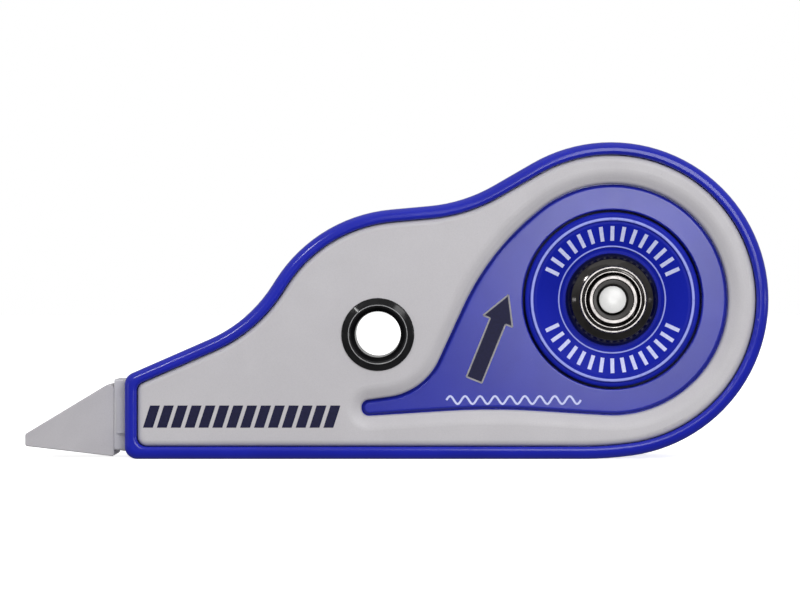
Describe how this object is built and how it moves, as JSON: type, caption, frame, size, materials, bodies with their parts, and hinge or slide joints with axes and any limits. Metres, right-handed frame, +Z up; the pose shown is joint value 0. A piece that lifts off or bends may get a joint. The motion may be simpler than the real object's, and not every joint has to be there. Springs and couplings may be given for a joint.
{
  "type": "correction tape roller",
  "caption": "Flat teardrop hand-held correction tape roller with a wedge nose cap, a raised rim, a through eyelet and a round reel knob in a recessed window.",
  "frame": {"origin": "under the middle of the bounding box, on the surface that the flat bottom edge stands on", "axes": "+X from the nose towards the round reel end, +Z up, -Y towards the front side with the reel knob"},
  "size_m": [0.0944, 0.015, 0.04],
  "materials": {
    "casing_blue": "gloss moulded styrene",
    "window_blue": "satin gloss moulded styrene",
    "knob_blue": "gloss with light printed rings",
    "panel_grey": "satin",
    "cap_grey": "satin, fine texture",
    "head_grey": "satin",
    "blade_white": "smooth",
    "eyelet_black": "polished",
    "hub_chrome": "bright black-nickel metallised",
    "axle_white": "smooth",
    "pin_steel": "ground",
    "gear_white": "natural acetal",
    "clutch_rubber": "moulded",
    "washer_black": "moulded",
    "core_grey": "moulded",
    "core_blue": "moulded",
    "tape_white": "coated white film",
    "carrier_paper": "glassine carrier"
  },
  "bodies": {
    "casing": {"front_shell": "casing_blue", "rear_shell": "casing_blue", "front_panel": "panel_grey", "rear_panel": "panel_grey", "front_window": "window_blue", "rear_window": "window_blue", "eyelet_tube": "eyelet_black", "eyelet_ring": "eyelet_black", "supply_axle": "axle_white", "rear_axle_cap": "hub_chrome", "feed_guide_pin": "pin_steel", "return_guide_pin": "pin_steel", "applicator_head": "head_grey", "tip_blade": "blade_white", "supply_washer": "washer_black", "takeup_washer": "washer_black", "correction_tape_run": "tape_white", "carrier_tape_run": "carrier_paper"},
    "supply_reel": {"reel_knob": "knob_blue", "hub_cap": "hub_chrome", "supply_core": "core_blue", "supply_roll": "tape_white", "supply_gear": "gear_white", "clutch_ring": "clutch_rubber", "clutch_washer": "washer_black"},
    "takeup_reel": {"takeup_gear": "gear_white", "takeup_core": "core_grey", "takeup_roll": "carrier_paper"},
    "cap": {"tip_cap": "cap_grey"}
  },
  "joints": [
    {"name": "supply_spin", "type": "hinge", "parent": "casing", "child": "supply_reel", "pos_m": [0.02745, 0, 0.02015], "axis": [0, 1, 0], "continuous": true},
    {"name": "takeup_spin", "type": "hinge", "parent": "casing", "child": "takeup_reel", "pos_m": [-0.00223, 0, 0.01575], "axis": [0, 1, 0], "continuous": true},
    {"name": "cap_pull", "type": "slide", "parent": "casing", "child": "cap", "axis": [-1, 0, 0], "range_m": [0, 0.014]}
  ],
  "couplings": [
    {"joint": "takeup_spin", "follows": "supply_spin", "ratio": -1.4194}
  ]
}
